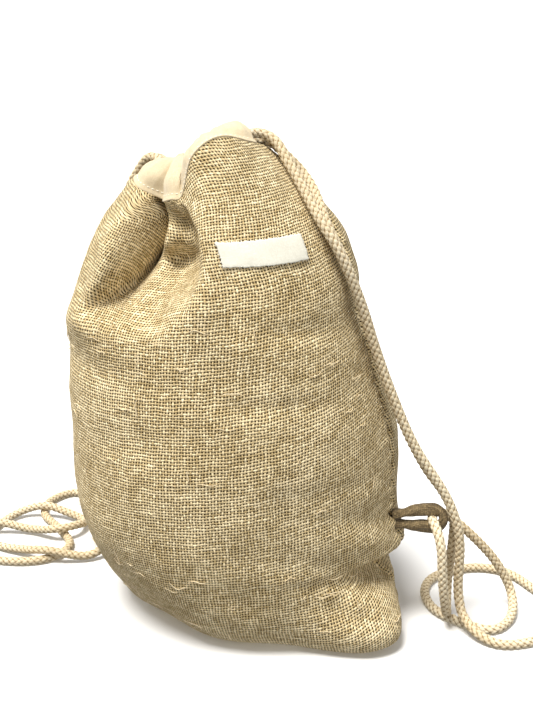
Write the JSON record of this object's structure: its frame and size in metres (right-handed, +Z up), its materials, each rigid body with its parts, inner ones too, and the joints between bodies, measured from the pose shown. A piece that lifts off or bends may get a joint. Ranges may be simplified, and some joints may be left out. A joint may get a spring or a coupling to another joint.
{
  "type": "drawstring backpack",
  "caption": "Drawstring backpack of coarse hemp with a gathered cotton casing, a bare sewn label, side tabs and braided cotton cords that lie loose on the floor.",
  "frame": {"origin": "on the floor, under the middle of the box round the bag and its tabs", "axes": "+Z up, -Y out of the front panel with the label, +X to the right as seen from the front"},
  "size_m": [0.4591, 0.2735, 0.3494],
  "materials": {
    "hemp": "coarse plain weave, matte",
    "cotton": "fine plain weave, matte",
    "cord": "round braid, matte",
    "tab": "rolled hemp strip, matte",
    "label": "woven tape, matte"
  },
  "bodies": {
    "root": {"front_panel": "hemp", "back_panel": "hemp", "front_casing": "cotton", "back_casing": "cotton", "label": "label", "right_tab": "tab", "left_tab": "tab", "right_cord_run": "cord", "left_cord_run": "cord", "right_cord_long": "cord", "right_cord_short": "cord", "left_cord_long": "cord", "left_cord_short": "cord"}
  },
  "joints": []
}
